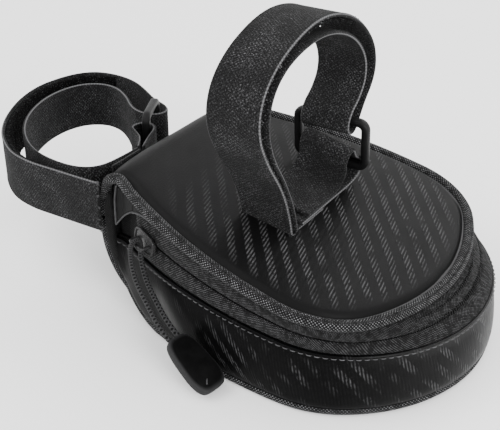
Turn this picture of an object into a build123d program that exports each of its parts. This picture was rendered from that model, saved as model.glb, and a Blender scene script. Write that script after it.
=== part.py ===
"""Bicycle saddle bag: tombstone-shaped bag with a zipped lid and two strap loops.

Millimetres. +Y is the front (the seatpost side), +X the rider's right, +Z up.
The bag stands on Z = 0 with its origin under the middle of its body.
"""
import math
import os
from collections import namedtuple

from build123d import *

os.makedirs("parts", exist_ok=True)

# ---- driving dimensions: the bag body
bag_half_width = 56.0        # half of the widest body width
front_half_width = 39.0      # half of the width of the front face
widest_y = -20.0             # where the body is widest
front_y = 68.0               # most forward point of the front face
shoulder_y = front_y - 12.0  # where the bowed sides turn straight, near the front
front_lower_radius = 33.5    # round between the bottom and the front face
front_top_radius = 8.0       # roll of the main panel over the top front edge
front_lean = 5.5             # how far the top of the front face leans back
front_bulge_z = 45.0         # height where the front face starts to lean back
top_height = 45.8            # top surface, above the origin
top_tilt = 12.2              # degrees that the top slopes down to the rear

# ---- driving dimensions: levels round the bag, heights above the origin
seam_height = 28.0
seam_tilt = 3.7
zip_height = 34.6
zip_tilt = 7.2
floor_rear_y = widest_y - bag_half_width + 7.0
seam_rear_y = widest_y - bag_half_width + 8.0
zip_rear_y = widest_y - bag_half_width + 13.0
piping_rear_y = widest_y - bag_half_width + 19.5
floor_corner = bag_half_width - 16.0  # plan radius of the rear corners, level by level
seam_corner = bag_half_width - 17.0
zip_corner = bag_half_width - 21.0
piping_corner = bag_half_width - 26.0

# ---- driving dimensions: materials
leather = 1.6                # embossed synthetic leather panels
foam = 1.6                   # foam behind the main panel
lining = 0.6                 # woven lining
tape = 1.0                   # zipper tape
board = 1.5                  # stiffener in the bottom
piping = 3.6                 # covered piping cord, across
piping_out = 2.2             # how far the top piping stands out from the tape
layer_gap = 0.1              # play between sewn layers
layer_drop = 0.6             # share of an inset that the inner layers also sink
lid_gap = 0.4                # play between the lid and the body round it

# ---- driving dimensions: zipper
coil_height = 2.4
coil_depth = 1.6
coil_gap = 0.9               # from the middle of the zipper to each coil
zip_front_y = front_y - 20.0  # where the zipper ends at the front corners
slider_park_y = zip_front_y - 8.0
slider_length = 12.0
slider_height = 9.0
slider_plate = 1.3
slider_play = 0.4            # outer plate to tape
slider_back_play = 1.3       # inner plate to coil, for the lid that leaves it
slider_back_height = 6.0
neck_width = 1.2
neck_length = 2.4
bridge_rise = 4.2
bridge_bar = 1.5
bridge_span = 8.0
end_stop = 2.0

# ---- driving dimensions: hinge of the lid
lid_front_y = front_y - 16.4
hinge_y = front_y - 13.5

# ---- driving dimensions: straps and rings
strap_width = 20.0
strap_layer = 1.2
ring_across = 31.0           # along the strap's width
ring_length = 21.0
ring_bar = 3.2
ring_end = 3.0
strap_clear = 0.3            # play between a strap and the panel it lies on
rail_strap_y = 4.0           # middle of the rail strap's width
seat_strap_z = 44.0          # middle of the seatpost strap's width

# ---- driving dimensions: zipper pull
cord_diameter = 1.8
cord_fold = 2.05             # middle of the cord to the middle of the bridge bar it goes over
cord_spread = 4.0            # between the two strands where they enter the tab
tab_width = 13.0
tab_length = 23.0
tab_thickness = 4.4
tab_corner = 5.0
tab_edge = 1.2               # round of the tab's edges

REACH = 200.0                # longer than the bag, for trimming blocks

Level = namedtuple("Level", "height tilt rear corner")
piping_height = top_height - piping / math.cos(math.radians(top_tilt))
FLOOR = Level(0.0, 0.0, floor_rear_y, floor_corner)
SEAM = Level(seam_height, seam_tilt, seam_rear_y, seam_corner)
ZIP = Level(zip_height, zip_tilt, zip_rear_y, zip_corner)
PIPING = Level(piping_height, top_tilt, piping_rear_y, piping_corner)
TOP = Level(top_height, top_tilt, piping_rear_y, piping_corner)

side_radius = (
    (bag_half_width - front_half_width) ** 2 + (shoulder_y - widest_y) ** 2
) / (2 * (bag_half_width - front_half_width))
side_centre_x = side_radius - bag_half_width


def level_plane(level, lift=0.0):
    """The tilted plane of a level, lifted square to itself."""
    tilt = math.radians(level.tilt)
    normal = (0, -math.sin(tilt), math.cos(tilt))
    return Plane(origin=(0, 0, level.height), x_dir=(1, 0, 0), z_dir=normal).offset(lift)


def beside(level, lift):
    """The same level moved up or down by a small lift."""
    return level._replace(height=level.height + lift)


def polar(centre, radius, angle):
    """Point at an angle in degrees on a circle."""
    turn = math.radians(angle)
    return (centre[0] + radius * math.cos(turn), centre[1] + radius * math.sin(turn))


def arc(centre, radius, start, end):
    """Arc about a centre between two angles, drawn in the current line."""
    middle = (start + end) / 2
    return ThreePointArc(
        polar(centre, radius, start), polar(centre, radius, middle), polar(centre, radius, end)
    )


def section(level, grow=0.0, lift=0.0):
    """Outline of the bag at a level, grown outward square to its edge."""
    depth = widest_y - level.rear
    corner_x = bag_half_width - level.corner
    rear_radius = (corner_x ** 2 + depth ** 2 - level.corner ** 2) / (2 * (depth - level.corner))
    rear_centre = (0, level.rear + rear_radius)
    shoulder = math.degrees(math.asin((shoulder_y - widest_y) / side_radius))
    turn = math.degrees(math.atan2(rear_centre[1] - widest_y, corner_x))
    end_y = front_y + piping
    with BuildSketch(level_plane(level, lift)) as face:
        with BuildLine():
            Line((front_half_width, end_y), (-front_half_width, end_y))
            Line((-front_half_width, end_y), (-front_half_width, shoulder_y))
            arc((side_centre_x, widest_y), side_radius, 180 - shoulder, 180)
            arc((-corner_x, widest_y), level.corner, 180, 180 + turn)
            arc(rear_centre, rear_radius, 180 + turn, 360 - turn)
            arc((corner_x, widest_y), level.corner, 360 - turn, 360)
            arc((-side_centre_x, widest_y), side_radius, 0, shoulder)
            Line((front_half_width, shoulder_y), (front_half_width, end_y))
        make_face()
        if grow:
            offset(amount=grow, kind=Kind.INTERSECTION)
    return face.sketch


def between(low, high, share):
    """Level part of the way from one level to another, or past either."""
    return Level(*(a + (b - a) * share for a, b in zip(low, high)))


def block(low, high, grow=0.0):
    """Solid between two levels."""
    with BuildPart() as solid:
        loft(sections=[section(low, grow), section(high, grow)], ruled=True)
    return solid.part


def skin(low, high, grow):
    """Solid inside one layer of a sloping wall, running past both its edges."""
    sink = layer_drop * grow
    return block(
        beside(between(low, high, -0.5), sink), beside(between(low, high, 1.5), sink), grow
    )


def band(low, high, outer, inner, start=0.0, end=1.0):
    """Wall between two levels, from one layer to another, or a strip along it."""
    with BuildPart() as wall:
        add(skin(low, high, outer))
        add(skin(low, high, inner), mode=Mode.SUBTRACT)
        add(block(between(low, high, start), between(low, high, end), piping), mode=Mode.INTERSECT)
    return wall.part


def upright(grow=0.0):
    """Upright prism of the floor outline."""
    return block(FLOOR, beside(FLOOR, REACH / 2), grow)


def slab(level, grow, lift, thickness):
    """Flat sheet over a level, from a lift up by its thickness."""
    with BuildPart() as sheet:
        add(section(level, grow, lift))
        extrude(amount=thickness, dir=level_plane(level).z_dir)
    return sheet.part


def top_z(y):
    """Height of the top surface at a place along the bag."""
    return top_height + y * math.tan(math.radians(top_tilt))


def profile(grow=0.0):
    """Prism of the bag's side profile, across its whole width."""
    rear = -REACH / 2
    crown_y = front_y - front_lean
    with BuildPart() as prism:
        with BuildSketch(Plane.YZ):
            with BuildLine():
                FilletPolyline(
                    (rear, 0),
                    (front_y, 0),
                    (front_y, front_bulge_z),
                    (crown_y, top_z(crown_y)),
                    (rear, top_z(rear)),
                    radius=[front_lower_radius, front_top_radius * 2, front_top_radius],
                )
                Line((rear, top_z(rear)), (rear, 0))
            make_face()
            if grow:
                offset(amount=grow, kind=Kind.INTERSECTION)
        extrude(amount=REACH / 2, both=True)
    return prism.part


def before(y, thick=REACH):
    """Block of everything behind a place along the bag."""
    with BuildPart() as behind:
        with Locations((0, y - thick / 2, 0)):
            Box(thick, thick, thick)
    return behind.part


def after(y, thick=REACH):
    """Block of everything ahead of a place along the bag."""
    return before(y + thick, thick)


def smooth_radii(points):
    """Radius for each corner of a route, as large as its two runs allow."""
    radii = []
    for first, corner, last in zip(points, points[1:], points[2:]):
        run_in = Vector(*corner) - Vector(*first)
        run_out = Vector(*last) - Vector(*corner)
        half_turn = math.radians(run_in.get_angle(run_out)) / 2
        radii.append(0.45 * min(run_in.length, run_out.length) / math.tan(half_turn))
    return radii


def write(part, label):
    """Name a finished piece and write its file."""
    part.part.label = label
    export_step(part.part, f"parts/{label}.step")


floor_turn_y = front_y - front_lower_radius

# ---- body: leather, stiffener and lining
wall_foot = (piping + layer_gap) / seam_height
with BuildPart() as side_wall:
    add(band(FLOOR, SEAM, 0.0, -leather, wall_foot))
    add(profile(-piping - layer_gap), mode=Mode.INTERSECT)
write(side_wall, "side_wall")

with BuildPart() as side_lining:
    add(band(FLOOR, SEAM, -leather - layer_gap, -leather - layer_gap - lining, wall_foot))
    add(profile(-piping - layer_gap), mode=Mode.INTERSECT)
write(side_lining, "side_lining")

with BuildPart() as bottom_panel:
    add(slab(FLOOR, -piping - layer_gap, 0.0, leather))
    add(before(floor_turn_y), mode=Mode.INTERSECT)
write(bottom_panel, "bottom_panel")

with BuildPart() as bottom_board:
    add(slab(FLOOR, -piping - layer_gap, leather + layer_gap, board))
    add(before(floor_turn_y), mode=Mode.INTERSECT)
write(bottom_board, "bottom_board")

with BuildPart() as bottom_lining:
    add(slab(FLOOR, -piping - layer_gap, leather + board + 2 * layer_gap, lining))
    add(before(floor_turn_y), mode=Mode.INTERSECT)
write(bottom_lining, "bottom_lining")

with BuildPart() as lid_space:
    add(before(lid_front_y + lid_gap))
    with Locations((0, 0, (seam_height - REACH) / 2)):
        Box(2 * REACH, 2 * REACH, REACH, mode=Mode.SUBTRACT)

with BuildPart() as front_space:
    add(upright(-piping - layer_gap))
    add(after(floor_turn_y + layer_gap), mode=Mode.INTERSECT)
    add(lid_space.part, mode=Mode.SUBTRACT)


def front_layer(outer, inner):
    """Layer of the front panel, which follows the side profile."""
    with BuildPart() as layer:
        add(front_space.part)
        add(profile(outer), mode=Mode.INTERSECT)
        add(profile(inner), mode=Mode.SUBTRACT)
    return layer.part


with BuildPart() as front_panel:
    add(front_layer(0.0, -leather))
write(front_panel, "front_panel")

with BuildPart() as front_foam:
    add(front_layer(-leather - layer_gap, -leather - layer_gap - foam))
write(front_foam, "front_foam")

with BuildPart() as edge_ring:
    add(upright())
    add(upright(-piping), mode=Mode.SUBTRACT)

with BuildPart() as lower_piping:
    add(profile())
    add(profile(-piping), mode=Mode.SUBTRACT)
    add(edge_ring.part, mode=Mode.INTERSECT)
    add(lid_space.part, mode=Mode.SUBTRACT)
write(lower_piping, "lower_piping")

# ---- body: corner panels at the ends of the zipper
garage_front = profile(-piping - layer_gap)
with BuildPart() as corner_wall:
    add(band(SEAM, beside(PIPING, -lid_gap), 0.0, -leather, layer_gap / zip_height))
    add(garage_front, mode=Mode.INTERSECT)
    add(after(zip_front_y + layer_gap), mode=Mode.INTERSECT)
for label, half in (("left_corner_panel", Keep.BOTTOM), ("right_corner_panel", Keep.TOP)):
    with BuildPart() as corner_panel:
        add(corner_wall.part)
        split(bisect_by=Plane.YZ, keep=half)
    write(corner_panel, label)

# ---- body: lower half of the zipper
coil_outer = -tape - layer_gap
coil_inner = coil_outer - coil_depth
lower_rise = zip_height - seam_height
upper_rise = piping_height - zip_height
lower_top = 1 - coil_gap / lower_rise
upper_foot = coil_gap / upper_rise

with BuildPart() as lower_zip_tape:
    add(band(SEAM, ZIP, 0.0, -tape, layer_gap / lower_rise, lower_top))
    add(before(zip_front_y), mode=Mode.INTERSECT)
write(lower_zip_tape, "lower_zip_tape")

with BuildPart() as lower_coil_strip:
    add(band(SEAM, ZIP, coil_outer, coil_inner, lower_top - coil_height / lower_rise, lower_top))
with BuildPart() as lower_zip_coil:
    add(lower_coil_strip.part)
    add(before(zip_front_y - end_stop - layer_gap), mode=Mode.INTERSECT)
write(lower_zip_coil, "lower_zip_coil")

with BuildPart() as zip_end_stops:
    add(lower_coil_strip.part)
    add(before(zip_front_y), mode=Mode.INTERSECT)
    add(after(zip_front_y - end_stop), mode=Mode.INTERSECT)
write(zip_end_stops, "zip_end_stops")

# ---- lid: upper half of the zipper, piping and main panel
with BuildPart() as upper_zip_tape:
    add(band(ZIP, PIPING, 0.0, -tape, upper_foot, 1 - layer_gap / upper_rise))
    add(before(zip_front_y - lid_gap), mode=Mode.INTERSECT)
write(upper_zip_tape, "upper_zip_tape")

with BuildPart() as upper_zip_coil:
    add(band(ZIP, PIPING, coil_outer, coil_inner, upper_foot, upper_foot + coil_height / upper_rise))
    add(before(zip_front_y - end_stop - lid_gap), mode=Mode.INTERSECT)
write(upper_zip_coil, "upper_zip_coil")

with BuildPart() as top_piping:
    add(slab(TOP, piping_out, -piping, piping))
    add(slab(TOP, piping_out - piping, -piping, piping), mode=Mode.SUBTRACT)
    add(before(lid_front_y), mode=Mode.INTERSECT)
write(top_piping, "top_piping")

panel_inset = piping_out - piping - layer_gap
liner_front_y = zip_front_y - lid_gap
lid_layers = (
    ("top_panel", leather, lid_front_y),
    ("top_foam", foam, liner_front_y),
    ("top_lining", lining, liner_front_y),
)
depth = 0.0
for label, thickness, front_edge in lid_layers:
    depth += thickness
    with BuildPart() as sheet:
        add(slab(TOP, panel_inset, -depth, thickness))
        add(before(front_edge), mode=Mode.INTERSECT)
    write(sheet, label)
    depth += layer_gap

# ---- slider, which runs along the left side
slider_x = side_centre_x - math.sqrt(side_radius ** 2 - (slider_park_y - widest_y) ** 2)
zip_plane = level_plane(ZIP)
slider_origin = zip_plane.from_local_coords((slider_x, slider_park_y, 0))
outward = zip_plane.from_local_coords((slider_x, slider_park_y, 0)) - zip_plane.from_local_coords(
    (side_centre_x, widest_y, 0)
)
slider_plane = Plane(origin=slider_origin, x_dir=outward.normalized(), z_dir=zip_plane.z_dir)
plate_x = slider_play + slider_plate
back_x = coil_inner - slider_back_play

with BuildPart() as slider_body:
    with BuildSketch(slider_plane.offset(-slider_height / 2)):
        with Locations((slider_play + slider_plate / 2, 0)):
            Rectangle(slider_plate, slider_length)
    extrude(amount=slider_height)
    with BuildSketch(slider_plane.offset(-neck_width / 2)):
        with Locations(((slider_play + back_x) / 2, (neck_length - slider_length) / 2)):
            Rectangle(slider_play - back_x, neck_length)
    extrude(amount=neck_width)
    with BuildSketch(slider_plane.offset(-slider_back_height / 2)):
        with Locations((back_x - slider_plate / 2, 0)):
            Rectangle(slider_plate, slider_length)
    extrude(amount=slider_back_height)
write(slider_body, "slider_body")

with BuildPart() as slider_bridge:
    with BuildSketch(slider_plane.offset(-bridge_bar / 2)):
        with Locations((plate_x + bridge_rise / 2, 0)):
            Rectangle(bridge_rise, bridge_span)
        with Locations((plate_x + (bridge_rise - bridge_bar) / 2, 0)):
            Rectangle(bridge_rise - bridge_bar, bridge_span - 2 * bridge_bar, mode=Mode.SUBTRACT)
    extrude(amount=bridge_bar)
write(slider_bridge, "slider_bridge")
print("slider frame", slider_plane.origin, slider_plane.x_dir, slider_plane.y_dir)
print("slider arc centre", zip_plane.from_local_coords((side_centre_x, widest_y, 0)), zip_plane.z_dir)

def eye(x, y, z):
    """Point in the slider's frame: outward, rearward and up."""
    return slider_plane.from_local_coords((x, y, z))


# ---- pull: a cord through the bridge, both ends in a moulded tab
tab_top = eye(5.4, 26.6, -22.7)
tab_along = Vector(-0.16, -0.85, -0.50).normalized()
tab_across = Vector(-0.85, 0.16, 0).normalized()
tab_plane = Plane(origin=tab_top, x_dir=tab_along, z_dir=tab_along.cross(tab_across))
with BuildPart() as pull_tab:
    with BuildSketch(tab_plane.offset(-tab_thickness / 2)):
        with Locations((tab_length / 2, 0)):
            RectangleRounded(tab_length, tab_width, tab_corner)
    extrude(amount=tab_thickness)
    fillet(pull_tab.edges().filter_by(GeomType.LINE, reverse=True), radius=tab_edge / 2)
write(pull_tab, "pull_tab")

bar_x = plate_x + bridge_rise - bridge_bar / 2
strand_in = tab_top - tab_across * (cord_spread / 2)
strand_out = tab_top + tab_across * (cord_spread / 2)


cord_route = [
    strand_in,
    strand_in - tab_along * 6,
    eye(4.2, 12.5, -16.0),
    eye(3.6, 4.6, -12),
    eye(bar_x - cord_fold, 0, -4.5),
    eye(bar_x - cord_fold, 0, cord_fold),
    eye(bar_x + cord_fold, 0, cord_fold),
    eye(bar_x + cord_fold, 0, -4.5),
    eye(7.4, 4.0, -12),
    eye(8.0, 13.2, -16.1),
    strand_out - tab_along * 6,
    strand_out,
]
cord_radii = smooth_radii([tuple(point) for point in cord_route])
with BuildPart() as pull_cord:
    with BuildLine() as cord_line:
        FilletPolyline(*cord_route, radius=cord_radii)
    with BuildSketch(Plane(origin=cord_line.line @ 0, z_dir=cord_line.line % 0)):
        Circle(cord_diameter / 2)
    sweep()
write(pull_cord, "pull_cord")
cord_length = sum(edge.length for edge in cord_line.edges())
print("pull cord radii", [round(radius, 2) for radius in cord_radii])
print("pull cord length", round(cord_length, 2))
cord_volume = math.pi * cord_diameter ** 2 / 4 * cord_length
print("pull cord volume over section times length", round(pull_cord.part.volume / cord_volume, 4))
print("pull cord route", [tuple(round(v, 2) for v in tuple(point)) for point in cord_route])
print("middle of the bridge bar", eye(bar_x, 0, 0))
print("lid hinge", (0, hinge_y, top_z(hinge_y)))

# ---- straps: each is one band that runs round its loop, through a ring and back
def ribbon(plane, route, side):
    """Strap standing on a plane along a route, with its thickness to one side."""
    with BuildPart() as strip:
        with BuildSketch(plane):
            with BuildLine():
                FilletPolyline(*route, radius=smooth_radii(route))
                offset(amount=strap_layer, side=side)
            make_face()
        extrude(amount=strap_width)
    return strip.part


def ring(plane, ends):
    """Plastic ring whose two bars run along the strap's width, seen end on in a plane."""
    (x1, y1), (x2, y2) = ends
    middle = plane.from_local_coords(((x1 + x2) / 2, (y1 + y2) / 2, 0))
    along = plane.from_local_coords((x2, y2, 0)) - plane.from_local_coords((x1, y1, 0))
    face = Plane(origin=middle, x_dir=along.normalized(), z_dir=along.cross(plane.z_dir))
    with BuildPart() as loop:
        with BuildSketch(face.offset(-ring_bar / 2)):
            RectangleRounded(ring_length, ring_across, ring_bar)
            Rectangle(
                ring_length - 2 * ring_bar, ring_across - 2 * ring_end, mode=Mode.SUBTRACT
            )
        extrude(amount=ring_bar)
    return loop.part


def sewn_base(plane, first_x, last_x):
    """Flat stretch of strap that is sewn down on a panel."""
    with BuildPart() as base:
        with BuildSketch(plane.offset(layer_gap)):
            with Locations(((first_x + last_x) / 2, 0)):
                Rectangle(last_x - first_x, strap_width)
        extrude(amount=strap_layer)
    return base.part


# Rail strap: stands across the lid; routes are in X and height above the lid
rail_front_y = rail_strap_y + strap_width / 2
rail_plane = Plane(origin=(0, rail_front_y, top_z(rail_strap_y)), x_dir=(1, 0, 0), z_dir=(0, -1, 0))
rail_route = [
    (-20.5, -3), (-23, 8), (-29, 20), (-37, 32), (-41, 44), (-38, 55), (-28, 61.5),
    (-13, 64), (3, 62), (17, 56), (27, 47), (29, 39), (24, 32), (18, 28.5), (16, 24),
    (17.5, 21.3), (21, 21.2), (23.5, 25), (27.5, 30.5), (32.5, 35.5), (35, 42), (31.5, 52),
    (19, 63), (3, 69.5), (-14, 70.5), (-31, 65.5), (-42, 57), (-45, 45), (-39.5, 33),
    (-31, 21), (-25, 9), (-22.5, -3),
]
rail_tail_route = [
    (-17, 1.4), (-5, 1.7), (8, 1.4), (18, 1.0), (25, 3.0), (26, 9.5), (22, 13.2), (17, 16),
    (14.2, 20.5), (9.4, 20), (8.2, 15.5), (11, 10), (8, 5.0), (0, 4.4), (-14, 4.8),
]
rail_ring_ends = [(19.4, 26.3), (20.8, 6.0)]
rail_ring_shift = 0.8        # towards the rear, with the tail that leans back

lid_face = level_plane(TOP, strap_clear)
with BuildPart() as under_rail_strap:
    with BuildSketch(lid_face):
        Rectangle(REACH, REACH)
    extrude(amount=-REACH / 4)

with BuildPart() as rail_strap:
    add(ribbon(rail_plane, rail_route, Side.RIGHT))
    add(under_rail_strap.part, mode=Mode.SUBTRACT)
write(rail_strap, "rail_strap")

lid_middle = Plane(
    origin=(0, rail_strap_y, top_z(rail_strap_y)), x_dir=(1, 0, 0), z_dir=lid_face.z_dir
)
with BuildPart() as rail_strap_base:
    add(sewn_base(lid_middle, -19.0, -2.0))
write(rail_strap_base, "rail_strap_base")

rail_tail_origin = lid_middle.from_local_coords((0, strap_width / 2, 0))
rail_tail_plane = Plane(origin=rail_tail_origin, x_dir=(1, 0, 0), z_dir=-lid_face.y_dir)
with BuildPart() as rail_strap_tail:
    add(ribbon(rail_tail_plane, rail_tail_route, Side.LEFT))
write(rail_strap_tail, "rail_strap_tail")

with BuildPart() as rail_ring:
    add(ring(rail_plane.offset(strap_width / 2 + rail_ring_shift), rail_ring_ends))
write(rail_ring, "rail_ring")

# Seatpost strap: stands out from the front face; routes are in X and distance ahead of it
seat_plane = Plane(
    origin=(0, front_y, seat_strap_z - strap_width / 2), x_dir=(1, 0, 0), z_dir=(0, 0, 1)
)
seat_route = [
    (-11, 1.8), (-24, 2.2), (-33, 5), (-37, 12), (-37.5, 22), (-35, 34), (-28, 46),
    (-17, 57), (-2, 65), (14, 68), (27, 65), (33.5, 57), (33, 47), (27, 37), (20.5, 30),
    (17.6, 23.5), (18, 16.8), (23, 14.6), (27.2, 18), (30.5, 27), (37, 37), (42, 47),
    (44, 58), (41, 68.5), (31, 75.5), (15, 77.5), (-3, 73), (-24, 61), (-38, 44),
    (-41.5, 31), (-41.5, 17), (-41.3, 4),
]
seat_tail_route = [
    (-8.5, 0.8), (0, 4.8), (8, 7.2), (11.2, 12), (9, 17), (3.4, 18.2), (0.6, 13.6),
    (-3.4, 7.8), (-10, 4.2),
]
seat_ring_ends = [(5.1, 11.0), (24.1, 19.9)]

with BuildPart() as seatpost_strap:
    add(ribbon(seat_plane, seat_route, Side.RIGHT))
write(seatpost_strap, "seatpost_strap")

with BuildPart() as seatpost_strap_tail:
    add(ribbon(seat_plane, seat_tail_route, Side.LEFT))
write(seatpost_strap_tail, "seatpost_strap_tail")

front_face = Plane(origin=(0, front_y, seat_strap_z), x_dir=(-1, 0, 0), z_dir=(0, 1, 0))
with BuildPart() as seatpost_strap_base:
    add(sewn_base(front_face, 11.5, 28.0))
write(seatpost_strap_base, "seatpost_strap_base")

with BuildPart() as seatpost_ring:
    add(ring(seat_plane.offset(strap_width / 2), seat_ring_ends))
write(seatpost_ring, "seatpost_ring")
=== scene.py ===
"""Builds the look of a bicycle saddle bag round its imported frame.

Lengths are millimetres until a mesh is made.
"""
import math
from collections import namedtuple

import bpy
import numpy as np
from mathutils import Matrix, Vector, noise


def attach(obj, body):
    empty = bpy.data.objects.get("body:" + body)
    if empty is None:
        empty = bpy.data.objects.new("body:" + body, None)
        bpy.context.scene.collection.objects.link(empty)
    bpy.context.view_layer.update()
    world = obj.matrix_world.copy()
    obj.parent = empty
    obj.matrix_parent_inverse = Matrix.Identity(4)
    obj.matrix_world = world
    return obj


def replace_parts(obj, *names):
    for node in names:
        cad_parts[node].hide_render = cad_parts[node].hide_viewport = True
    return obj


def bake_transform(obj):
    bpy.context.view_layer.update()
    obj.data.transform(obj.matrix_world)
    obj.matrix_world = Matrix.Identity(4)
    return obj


bl_info = {
    "name": "Saddle bag looks",
    "version": (1, 0, 0),
    "blender": (4, 5, 0),
    "location": "3D View > Sidebar > Saddle bag",
    "description": "Leather, webbing, piping, zipper and stage of a bicycle saddle bag",
    "category": "Object",
}

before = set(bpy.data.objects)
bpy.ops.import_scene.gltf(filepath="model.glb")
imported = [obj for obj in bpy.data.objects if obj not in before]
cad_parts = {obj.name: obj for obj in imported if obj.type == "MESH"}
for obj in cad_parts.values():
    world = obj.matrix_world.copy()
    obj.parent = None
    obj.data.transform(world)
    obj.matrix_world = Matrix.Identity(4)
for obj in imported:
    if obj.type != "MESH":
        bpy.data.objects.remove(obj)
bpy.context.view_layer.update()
MM = 0.001

# ---- the bag's shape: levels round it and the front profile
Level = namedtuple("Level", "height tilt rear corner")
FLOOR = Level(0.0, 0.0, -69.0, 40.0)
SEAM = Level(28.0, 3.7, -68.0, 39.0)
ZIP = Level(34.6, 7.2, -63.0, 35.0)
PIPING = Level(42.12, 12.2, -56.5, 30.0)
TOP = Level(45.8, 12.2, -56.5, 30.0)
HALF_WIDTH = 56.0
FRONT_HALF = 39.0
WIDEST_Y = -20.0
SHOULDER_Y = 56.0
FRONT_Y = 68.0
FRONT_ROUND = 33.5
CROWN_Y = 62.5
BULGE_ROUND = 16.0
CROWN_ROUND = 8.0
BULGE_Z = 45.0
ZIP_FRONT_Y = 48.0
LID_FRONT_Y = 51.6
SIDE_RADIUS = ((HALF_WIDTH - FRONT_HALF) ** 2 + (SHOULDER_Y - WIDEST_Y) ** 2) / (
    2 * (HALF_WIDTH - FRONT_HALF)
)
TOP_SLOPE = math.tan(math.radians(TOP.tilt))
TILT_SINE, TILT_COSINE = math.sin(math.radians(TOP.tilt)), math.cos(math.radians(TOP.tilt))
# the slider's place and its outward, rearward and up directions, in millimetres
SLIDER_ORIGIN = np.array([-45.6065, 39.6846, 39.6133])
SLIDER_OUT = np.array([-0.941735, 0.333704, 0.042157])
SLIDER_REAR = np.array([-0.336356, -0.934309, -0.118031])
SLIDER_UP = np.cross(SLIDER_OUT, SLIDER_REAR)


def top_z(y):
    """Height of the top surface at a place along the bag."""
    return TOP.height + y * TOP_SLOPE


def flank(y, grow=0.0):
    """Half width of the bag ahead of its widest place."""
    ahead = np.minimum(y, SHOULDER_Y) - WIDEST_Y
    return np.sqrt((SIDE_RADIUS + grow) ** 2 - ahead ** 2) - (SIDE_RADIUS - HALF_WIDTH)


def outline(level, grow=0.0, front=SHOULDER_Y):
    """Plan points round the bag at a level, from its left front to its right front."""
    side_y = np.linspace(front, WIDEST_Y, 34, endpoint=False)
    side = np.column_stack([-flank(side_y, grow), side_y])
    corner_x = HALF_WIDTH - level.corner
    depth = WIDEST_Y - level.rear
    rear_radius = (corner_x ** 2 + depth ** 2 - level.corner ** 2) / (2 * (depth - level.corner))
    rear_y = level.rear + rear_radius
    turn = math.atan2(rear_y - WIDEST_Y, corner_x)
    angle = np.linspace(math.pi, math.pi + turn, 18, endpoint=False)
    corner = np.column_stack([np.cos(angle), np.sin(angle)]) * (level.corner + grow)
    corner += (-corner_x, WIDEST_Y)
    angle = np.linspace(math.pi + turn, 1.5 * math.pi, 26)
    back = np.column_stack([np.cos(angle), np.sin(angle)]) * (rear_radius + grow) + (0, rear_y)
    half = np.vstack([side, corner, back])
    return np.vstack([half, half[-2::-1] * (-1, 1)])


def lay(level, plan, lift=0.0):
    """Plan points of a level put in their place in space."""
    sine, cosine = math.sin(math.radians(level.tilt)), math.cos(math.radians(level.tilt))
    y = plan[:, 1] * cosine - lift * sine
    z = level.height + plan[:, 1] * sine + lift * cosine
    return np.column_stack([plan[:, 0], y, z])


def wall_row(low, high, share, grow, front):
    """Points round the bag part of the way up a wall, from one level to the next."""
    foot = lay(low, outline(low, grow, front))
    head = lay(high, outline(high, grow, front))
    return foot + (head - foot) * share


def rounded(points, radii, step=1.0):
    """Flat line with a round at each corner, sampled along its rounds."""
    made = [np.array(points[0], float)]
    for first, corner, last, radius in zip(points, points[1:], points[2:], radii):
        first, corner, last = (np.array(p, float) for p in (first, corner, last))
        back = (first - corner) / np.linalg.norm(first - corner)
        ahead = (last - corner) / np.linalg.norm(last - corner)
        inside = math.acos(np.clip(back @ ahead, -1, 1))
        reach = radius / math.tan(inside / 2)
        middle = (back + ahead) / np.linalg.norm(back + ahead)
        centre = corner + middle * radius / math.sin(inside / 2)
        start, end = corner + back * reach - centre, corner + ahead * reach - centre
        sweep = math.pi - inside
        for share in np.linspace(0, 1, max(4, int(radius * sweep / step))):
            weight = np.array([math.sin((1 - share) * sweep), math.sin(share * sweep)])
            made.append(centre + (start * weight[0] + end * weight[1]) / math.sin(sweep))
    made.append(np.array(points[-1], float))
    return np.array(made)


def front_profile(inset=0.0):
    """Side profile (y, z) from under the front, up the front face and back along the top."""
    rear = -60.0
    corners = [(20, inset), (FRONT_Y - inset, inset), (FRONT_Y - inset, BULGE_Z)]
    corners += [(CROWN_Y - inset, top_z(CROWN_Y) - inset), (rear, top_z(rear) - inset)]
    return rounded(corners, [FRONT_ROUND - inset, BULGE_ROUND - inset, CROWN_ROUND - inset])


def spaced(points, distances, values=None):
    """Points of a line, or values on them, at given distances along it."""
    columns = (points if values is None else values).T
    along = lengths(points)
    return np.column_stack([np.interp(distances, along, column) for column in columns])


def lengths(points):
    """Distance along a line to each of its points."""
    steps = np.linalg.norm(np.diff(points, axis=0), axis=1)
    return np.concatenate([[0.0], np.cumsum(steps)])


def even(points, step, values=None):
    """A line's points, or values on them, respaced evenly."""
    total = lengths(points)[-1]
    return spaced(points, np.linspace(0, total, max(2, int(round(total / step)) + 1)), values)


def directions(line):
    """Unit direction of a line at each of its points."""
    ahead = np.gradient(line, axis=0)
    return ahead / np.linalg.norm(ahead, axis=1, keepdims=True)


def square_to(line):
    """Unit direction square to a flat line at each of its points."""
    ahead = directions(line)
    return np.column_stack([ahead[:, 1], -ahead[:, 0]])


def bent_line(points, per_span=8):
    """Smooth line that a strap takes between its guiding points."""
    control = np.array(points, float)
    middles = (control[1:-2] + control[2:-1]) / 2
    starts = np.vstack([control[:1], middles])
    ends = np.vstack([middles, control[-1:]])
    share = np.linspace(0, 1, per_span, endpoint=False)[:, None, None]
    spans = starts * (1 - share) ** 2 + control[1:-1] * 2 * share * (1 - share) + ends * share ** 2
    return np.vstack([spans.transpose(1, 0, 2).reshape(-1, control.shape[1]), control[-1:]])


def unevenness(points, scale, seed=0.0):
    """Smooth noise from -1 to 1 at each point, for cloth that is never quite flat."""
    shift = Vector((seed, seed * 0.7, -seed))
    values = [noise.noise(Vector(point) / scale + shift) for point in points.reshape(-1, 3)]
    return np.array(values).reshape(points.shape[:-1])

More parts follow.
